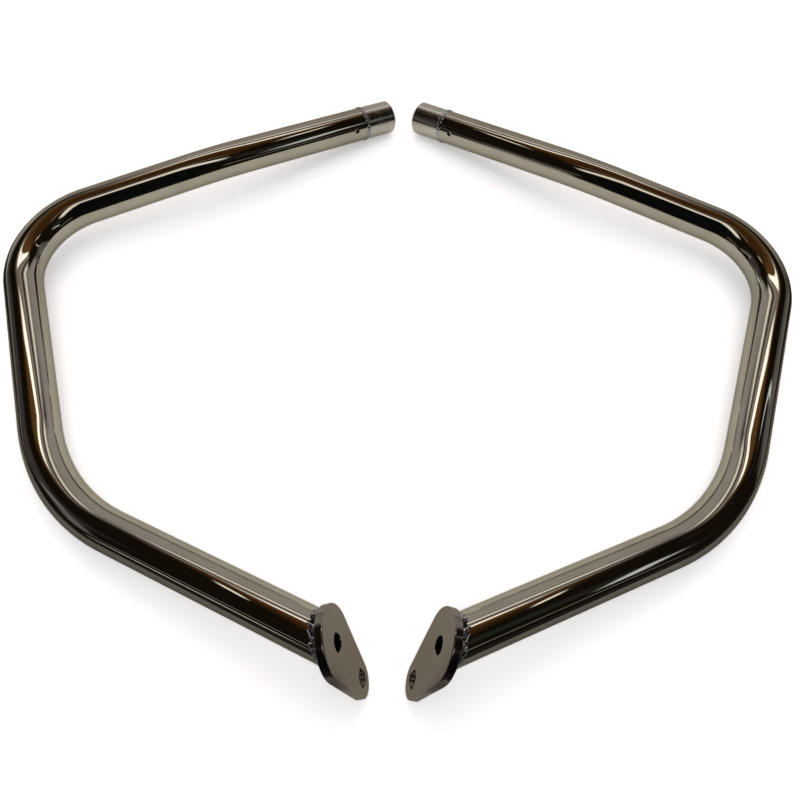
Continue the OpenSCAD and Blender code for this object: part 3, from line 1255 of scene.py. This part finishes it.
@dataclass
class Bar:
    """One bar of the pair, built from its sub-assemblies."""

    route: Route = Route()
    seat: Seat = Seat()
    tube: Tube = Tube()
    plug: Plug = Plug()
    plate: Plate = Plate()
    plate_weld: PlateWeld = PlateWeld(ripples=16, depth=0.5, lumpiness=0.2, seed=7)
    plug_weld: PlugWeld = PlugWeld(ripples=26, depth=0.6, lumpiness=0.2, seed=21)
    pair_gap: float = 16.5
    lie_turn: float = 25.0
    first_up: tuple[float, float, float] = (0.25, 0.95, -0.2)
    settle_rounds: int = 12

    def _rim_point(self, up: np.ndarray) -> np.ndarray:
        """Lowest point of the plug's rim."""
        middle = point(self.route.at_plug, z=self.plug.length - self.plug.chamfer)
        return middle + self.tube.radius * across(-up, way(self.route.at_plug))

    def _bend_point(self, up: np.ndarray) -> np.ndarray:
        """Lowest point of the lower bend.

        Args:
            up: Upward direction.

        Returns:
            The point below the axis where the bend runs square to that direction,
            or below the nearer end of the bend.
        """
        bend = self.route.at_lower_bend
        lean = math.degrees(math.atan(-float(up @ way(bend)) / float(up @ way(bend, 1.0, 0.0, 0.0))))
        at = bend @ elbow(min(max(lean, 0.0), self.route.lower_angle), self.route.lower_radius)
        return point(at) + self.tube.radius * across(-up, way(at))

    def _plate_point(self, up: np.ndarray) -> np.ndarray:
        """Lowest point of the plate's narrow end.

        Args:
            up: Upward direction.

        Returns:
            The point, on the rim of the lower of the plate's two faces.
        """
        normal = way(self.seat.at_plate)
        face = -self.plate.thickness if float(up @ normal) > 0.0 else 0.0
        middle = point(self.seat.at_plate, self.plate.narrow_x, 0.0, face)
        return middle + self.plate.narrow_radius * across(-up, normal)

    def _up(self) -> np.ndarray:
        """Upward direction at rest.

        Returns:
            The direction square to the plane through the three lowest points. It is
            found in rounds, because the lowest points depend on it.
        """
        up = np.array(self.first_up)
        for _ in range(self.settle_rounds):
            rim, bend, plate = self._rim_point(up), self._bend_point(up), self._plate_point(up)
            normal = unit(np.cross(bend - rim, plate - rim))
            up = normal if float(normal @ up) > 0.0 else -normal
        return up

    def _rims(self, laid: np.ndarray) -> list[tuple[np.ndarray, float]]:
        """Round edges of the plug and the plate.

        Args:
            laid: Frame of the bar.

        Returns:
            Frame and radius of each edge.
        """
        plug, plate = self.plug, self.plate
        tip = laid @ self.route.at_plug
        edges = [
            (tip @ shift(z=plug.length - plug.chamfer), plug.radius),
            (tip @ shift(z=plug.length), plug.radius - plug.chamfer),
        ]
        for x, radius in ((plate.broad_x, plate.broad_radius), (plate.narrow_x, plate.narrow_radius)):
            for z in (-plate.thickness, 0.0):
                edges.append((laid @ self.seat.at_plate @ shift(x, 0.0, z), radius))
        return edges

    def placement(self) -> np.ndarray:
        """Frame that lays the right bar on the floor beside its twin.

        Returns:
            The frame in millimetres: the bar rests on its three lowest points, its
            innermost edge is half the gap from X = 0 and its reach along Y is centred.
        """
        up = self._up()
        flat_x = across(way(np.eye(4)), up)
        laid = np.eye(4)
        laid[:3, :3] = [flat_x, np.cross(up, flat_x), up]
        laid[2, 3] = -float(up @ self._rim_point(up))
        laid = spin(self.lie_turn) @ laid
        rims = self._rims(laid)
        reach = [(point(edge), radius * np.sqrt(1.0 - way(edge) ** 2)) for edge, radius in rims]
        inner = min(middle[0] - wide[0] for middle, wide in reach)
        near = min(middle[1] - wide[1] for middle, wide in reach)
        far = reach[0][0][1] + reach[0][1][1]
        return shift(self.pair_gap / 2.0 - inner, -(near + far) / 2.0) @ laid

    def build(self, side: Side, finishes: dict[str, bpy.types.Material]) -> None:
        """Builds and dresses one bar.

        Args:
            side: Which bar.
            finishes: Material of each slot.
        """
        place = self.placement()
        tip = place @ self.route.at_plug
        pieces = (
            ("tube", "chromed_tube", self.tube.surface(self.route, self.seat), place),
            ("end_plug", "chromed_plug", self.plug.surface(), tip),
            ("mount_plate", "chromed_plate", self.plate.surface(), place @ self.seat.at_plate),
            ("plate_weld", "chromed_weld", self.plate_weld.surface(self.seat), place),
            ("plug_weld", "chromed_weld", self.plug_weld.surface(), tip),
        )
        for piece, slot, surface, frame in pieces:
            node = side.named(piece)
            mesh = surface.moved(frame, side).mesh(f"{node}_skin")
            obj = bpy.data.objects.new(f"{node}_skin", mesh)
            bpy.context.scene.collection.objects.link(obj)
            mesh.materials.append(finishes[slot])
            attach(obj, "root")
            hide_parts(node)
            self._log_box(obj, node)

    @staticmethod
    def _log_box(obj: bpy.types.Object, node: str) -> None:
        """Logs how far a piece reaches past the CAD node it replaces.

        Args:
            obj: The piece.
            node: Name of the node.
        """
        low, high = (np.array(corner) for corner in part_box(node))
        points = np.empty(len(obj.data.vertices) * 3)
        obj.data.vertices.foreach_get("co", points)
        points = points.reshape(-1, 3)
        past = max(float((low - points.min(axis=0)).max()), float((points.max(axis=0) - high).max()))
        LOG.info("%s: reaches %.3f mm past its node's box", node, past / MILLIMETRE)


@dataclass(frozen=True)
class SoftLamp:
    """Square soft lamp that hangs over the object and looks straight down. Chrome doesn't show it."""

    name: str
    place: tuple[float, float, float]
    size: float
    radiance: float

    def build(self) -> None:
        """Makes the lamp. Its power is radiance times pi times its area."""
        lamp = bpy.data.lights.new(self.name, "AREA")
        lamp.shape = "SQUARE"
        lamp.size = self.size
        lamp.energy = self.radiance * math.pi * self.size**2
        obj = bpy.data.objects.new(self.name, lamp)
        bpy.context.scene.collection.objects.link(obj)
        obj.matrix_world = Matrix.Translation(self.place)
        obj.visible_camera = obj.visible_glossy = False


@dataclass(frozen=True)
class Sheet:
    """Flat sheet of the stage, given by its corners. One that isn't seen is only mirrored."""

    name: str
    corners: tuple[tuple[float, float, float], ...]
    seen: bool = False

    def build(self, material: bpy.types.Material) -> None:
        """Makes the sheet.

        Args:
            material: What it is made of.
        """
        mesh = bpy.data.meshes.new(self.name)
        mesh.from_pydata(self.corners, [], [tuple(range(len(self.corners)))])
        mesh.materials.append(material)
        obj = bpy.data.objects.new(self.name, mesh)
        bpy.context.scene.collection.objects.link(obj)
        obj.visible_camera = obj.visible_shadow = obj.visible_diffuse = self.seen


@dataclass(frozen=True)
class Band:
    """Band of the surroundings, such as a window or a row of lamps.

    Its low and high are angles in degrees round X: 0 is the far horizon, 90
    overhead and 180 the near horizon. Across, it is placed by the sine of the
    angle toward X, in which it ends at middle plus and minus reach. Its droop
    is what the angles gain from there to a sine of one.
    """

    low: float
    high: float
    soft: float
    colour: tuple[float, float, float]
    reach: float
    fade: float = 0.15
    middle: float = 0.0
    droop: float = 0.0
    both: bool = True

    def over(self, graph: Graph, across_x: Value, turned: Value, under: Value | tuple) -> Value:
        """Colour of the surroundings with the band laid over them.

        Args:
            graph: The world's node tree.
            across_x: Sine of the angle toward X.
            turned: Angle round X.
            under: Colour without the band.

        Returns:
            The colour.
        """
        side = across_x.size() if self.both else across_x
        angle = turned - side * self.droop
        above = angle.over(self.low - self.soft, self.low)
        below = 1.0 - angle.over(self.high, self.high + self.soft)
        beside = 1.0 - (side - self.middle).size().over(self.reach, self.reach + self.fade)
        return graph.blend(above * below * beside, under, self.colour + (1.0,))


CEILING = (0.022, 0.015, 0.009)
# Each band lies over those before it.
BANDS = {
    "right wall": Band(30.0, 62.0, 14.0, (0.30, 0.29, 0.32), 0.05, 0.10, middle=0.95, both=False),
    "left wall": Band(35.0, 105.0, 20.0, (0.14, 0.12, 0.14), 0.05, 0.10, middle=-0.93, both=False),
    "side walls": Band(-30.0, 25.0, 10.0, (0.42, 0.41, 0.42), 0.04, 0.06, middle=0.96),
    "far wall": Band(-90.0, 30.0, 9.0, (0.84, 0.78, 0.83), 0.72, 0.16),
    "skirting": Band(7.0, 8.0, 0.8, (0.46, 0.42, 0.42), 0.66, 0.10),
    "doorway": Band(-90.0, 6.0, 16.0, (1.7, 1.7, 1.8), 0.07, 0.06, middle=-0.8, both=False),
    "brown ceiling": Band(60.0, 96.0, 6.0, (0.125, 0.055, 0.018), 0.40, 0.14),
    "window": Band(26.0, 56.0, 4.0, (0.90, 0.84, 0.87), 0.37, 0.13),
    "rail": Band(27.2, 27.9, 0.6, (0.50, 0.45, 0.46), 0.60, 0.10),
    "shelf": Band(36.5, 37.5, 0.8, (0.30, 0.28, 0.26), 0.46, 0.08),
    "sill": Band(43.8, 46.2, 1.2, (2.7, 2.5, 2.6), 0.31, 0.11),
    "blind": Band(49.6, 52.2, 1.0, (0.12, 0.10, 0.09), 0.46, 0.10),
    "ceiling glow": Band(62.0, 64.0, 11.0, (0.30, 0.155, 0.06), 0.34, 0.14),
    "lintel": Band(58.0, 61.4, 0.7, (4.2, 4.0, 4.2), 0.29, 0.10),
    "beams": Band(1.5, 5.5, 2.0, (3.0, 2.8, 2.8), 0.014, 0.014, middle=0.512, droop=145.0),
    "tube": Band(98.0, 99.0, 0.8, (1.7, 1.9, 2.1), 0.10, 0.03, middle=0.77, droop=-44.0, both=False),
    "left tube": Band(98.0, 101.0, 1.2, (1.4, 1.5, 1.6), 0.02, 0.03, middle=-0.92, both=False),
    "cable": Band(95.0, 95.8, 0.8, (0.8, 0.66, 0.6), 0.34, 0.08, droop=4.0),
    "lamps": Band(101.5, 108.5, 2.4, (2.6, 2.45, 2.5), 0.44, 0.10, droop=22.0),
    "near dark": Band(119.0, 181.0, 7.0, (0.010, 0.012, 0.013), 0.42, 0.30, droop=8.0),
    "right glow": Band(112.0, 127.0, 6.0, (0.05, 0.055, 0.05), 0.10, 0.10, middle=0.74, both=False),
    "right rack": Band(118.0, 136.0, 5.0, (1.7, 1.8, 2.1), 0.008, 0.02, middle=0.82, both=False),
    "near rack": Band(158.0, 159.5, 2.0, (0.60, 0.62, 0.58), 0.10, 0.04, middle=0.76),
    "left horizon": Band(177.0, 181.0, 1.5, (2.2, 2.2, 2.2), 0.06, 0.06, middle=-0.79, both=False),
    "left rack": Band(104.0, 150.0, 8.0, (0.38, 0.38, 0.42), 0.015, 0.03, middle=-0.92, both=False),
}


@dataclass
class Studio:
    """White floor with aprons of painted shade that only the chrome mirrors, dim surroundings with
    bands of light, and a soft lamp.
    """

    floor_size: float = 30.0
    floor_colour: tuple[float, float, float] = (0.93, 0.93, 0.925)
    floor_lift: float = 0.36
    # The shade and dark aprons are painted shade that only the chrome mirrors: a grey one for the
    # floor's shadow close round the bars, a near-black one for the shaded floor farther out.
    shade_edge: tuple[tuple[float, float], ...] = (
        (0.0, -0.315),
        (0.05, -0.30),
        (0.32, -0.125),
        (0.345, 0.06),
        (0.62, 0.45),
    )
    deep_shade_edge: tuple[tuple[float, float], ...] = (
        (0.0, -0.43),
        (0.07, -0.41),
        (0.43, -0.17),
        (0.405, 0.08),
        (0.80, 0.45),
    )
    shade_colour: tuple[float, float, float] = (0.46, 0.47, 0.49)
    deep_shade_colour: tuple[float, float, float] = (0.045, 0.042, 0.04)
    shade_height: float = 0.0006
    deep_shade_height: float = 0.0012
    matt: float = 0.9
    fill: SoftLamp = SoftLamp("fill", (0.0, 0.0, 1.5), 3.0, 1.02)

    def _lay_apron(
        self,
        name: str,
        edge: tuple[tuple[float, float], ...],
        height: float,
        colour: tuple[float, float, float],
    ) -> None:
        """Lays painted shade on the floor outside an edge round the bars: sheets that only the chrome
        mirrors, a painted reflection of shaded floor.

        Args:
            name: Name of the sheets, one on each side.
            edge: Points of the edge on the right side.
            height: Height of the sheets over the floor.
            colour: Their colour, the shade painted into the reflection.
        """
        far = self.floor_size / 2.0
        rim = (*edge, (far, edge[-1][1]), (far, -far), (0.0, -far))
        material = self._plain(f"studio_{name}", colour)
        for side in Side:
            corners = tuple((side.value * x, y, height) for x, y in rim)
            Sheet(side.named(name), corners).build(material)

    def _plain(
        self, name: str, colour: tuple[float, float, float], lift: float = 0.0
    ) -> bpy.types.Material:
        """Builds a plain matt material.

        Args:
            name: Name of the material.
            colour: Its colour.
            lift: Light that it adds where the camera or a shiny piece sees it.

        Returns:
            The material.
        """
        material = bpy.data.materials.new(name)
        material.use_nodes = True
        graph = Graph(material.node_tree)
        inputs = {"Base Color": colour + (1.0,), "Roughness": self.matt, "Specular IOR Level": 0.0}
        if lift > 0.0:
            path = graph.node("ShaderNodeLightPath")
            seen = path.value("Is Camera Ray") + path.value("Is Glossy Ray")
            seen = seen + path.value("Is Transmission Ray")
            inputs["Emission Color"] = (1.0, 1.0, 1.0, 1.0)
            inputs["Emission Strength"] = seen * lift
        surface = graph.node("ShaderNodeBsdfPrincipled", None, inputs)
        graph.node("ShaderNodeOutputMaterial", None, {"Surface": surface.value()})
        return material

    def build(self) -> None:
        """Makes the floor, the aprons, the lamp and the surroundings."""
        half = self.floor_size / 2.0
        corners = ((-half, -half, 0.0), (half, -half, 0.0), (half, half, 0.0), (-half, half, 0.0))
        floor = self._plain("studio_floor", self.floor_colour, self.floor_lift)
        Sheet("floor", corners, seen=True).build(floor)
        # Painted shade: grey and near-black sheets on the floor, seen only in the chrome's reflections.
        self._lay_apron("shade", self.shade_edge, self.shade_height, self.shade_colour)
        self._lay_apron("dark", self.deep_shade_edge, self.deep_shade_height, self.deep_shade_colour)
        self.fill.build()
        world = bpy.data.worlds.new("surroundings")
        world.use_nodes = True
        graph = Graph(world.node_tree)
        across_x, along, high = graph.direction()
        turned = high.turn(along)
        colour = CEILING + (1.0,)
        for band in BANDS.values():
            colour = band.over(graph, across_x, turned, colour)
        light = graph.node("ShaderNodeBackground", None, {"Color": colour, "Strength": 1.0})
        graph.node("ShaderNodeOutputWorld", None, {"Surface": light.value()})
        bpy.context.scene.world = world


@dataclass(frozen=True)
class Viewpoint:
    """Camera of the photograph."""

    place: tuple[float, float, float] = (0.00065, -0.35264, 0.50792)
    elevation: float = 59.853
    azimuth: float = 0.606
    roll: float = 2.16
    lens: float = 31.5
    sensor: float = 36.0
    clip: tuple[float, float] = (0.01, 100.0)

    def build(self) -> None:
        """Makes the camera from its place and its angles in degrees."""
        high, round_, roll = (math.radians(a) for a in (self.elevation, self.azimuth, self.roll))
        right = np.array([math.cos(round_), -math.sin(round_), 0.0])
        forward = np.array(
            [math.sin(round_) * math.cos(high), math.cos(round_) * math.cos(high), -math.sin(high)]
        )
        down = np.cross(forward, right)
        tilted_right = math.cos(roll) * right - math.sin(roll) * down
        tilted_down = math.sin(roll) * right + math.cos(roll) * down
        axes = Matrix((Vector(tilted_right), Vector(-tilted_down), Vector(-forward))).transposed()
        data = bpy.data.cameras.new("viewpoint")
        data.lens = self.lens
        data.sensor_width = self.sensor
        data.clip_start, data.clip_end = self.clip
        camera = bpy.data.objects.new("viewpoint", data)
        camera.matrix_world = Matrix.Translation(self.place) @ axes.to_4x4()
        bpy.context.scene.collection.objects.link(camera)
        bpy.context.scene.camera = camera


def main() -> None:
    """Builds both bars, the studio and the camera."""
    logging.basicConfig(level=logging.INFO, format="%(name)s: %(message)s")
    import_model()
    bpy.context.scene.view_settings.view_transform = "Standard"
    finishes = {
        "chromed_tube": TUBE_CHROME.material(),
        "chromed_plug": PLUG_CHROME.material(),
        "chromed_plate": PLATE_CHROME.material(),
        "chromed_weld": WELD_CHROME.material(),
    }
    bar = Bar()
    for side in Side:
        bar.build(side, finishes)
        LOG.info("%s bar built", side.name.lower())
    Studio().build()
    Viewpoint().build()
    LOG.info("studio and camera built")


if __name__ == "__main__":
    main()
